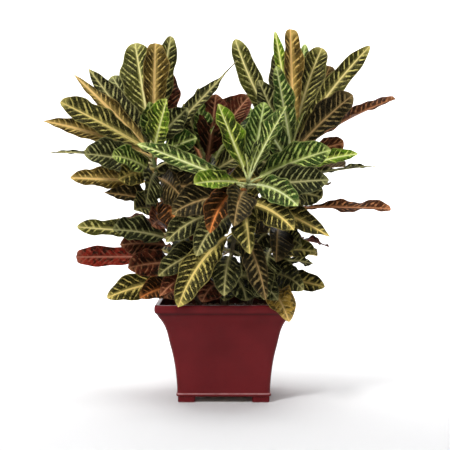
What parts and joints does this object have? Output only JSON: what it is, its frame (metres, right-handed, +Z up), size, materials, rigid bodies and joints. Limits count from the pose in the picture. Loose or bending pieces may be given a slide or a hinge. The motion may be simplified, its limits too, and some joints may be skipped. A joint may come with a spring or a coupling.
{
  "type": "potted croton",
  "caption": "Leafy croton houseplant with upright, arching veined leaves, in a square flared glazed pot on block feet.",
  "frame": {"origin": "middle of the pot's footprint, at the surface it stands on; the leaves reach about as far on either side", "axes": "+Z up; -Y towards the viewer of the picture; +X to the viewer's right"},
  "size_m": [0.5534, 0.3604, 0.5751],
  "materials": {
    "glaze": "satin",
    "soil": "matte",
    "foliage": "satin"
  },
  "bodies": {
    "root": {"pot": "glaze", "soil": "soil", "leafy_stem_left": "foliage", "leafy_stem_right": "foliage", "leafy_stem_front": "foliage", "leafy_stem_back": "foliage"}
  },
  "joints": []
}
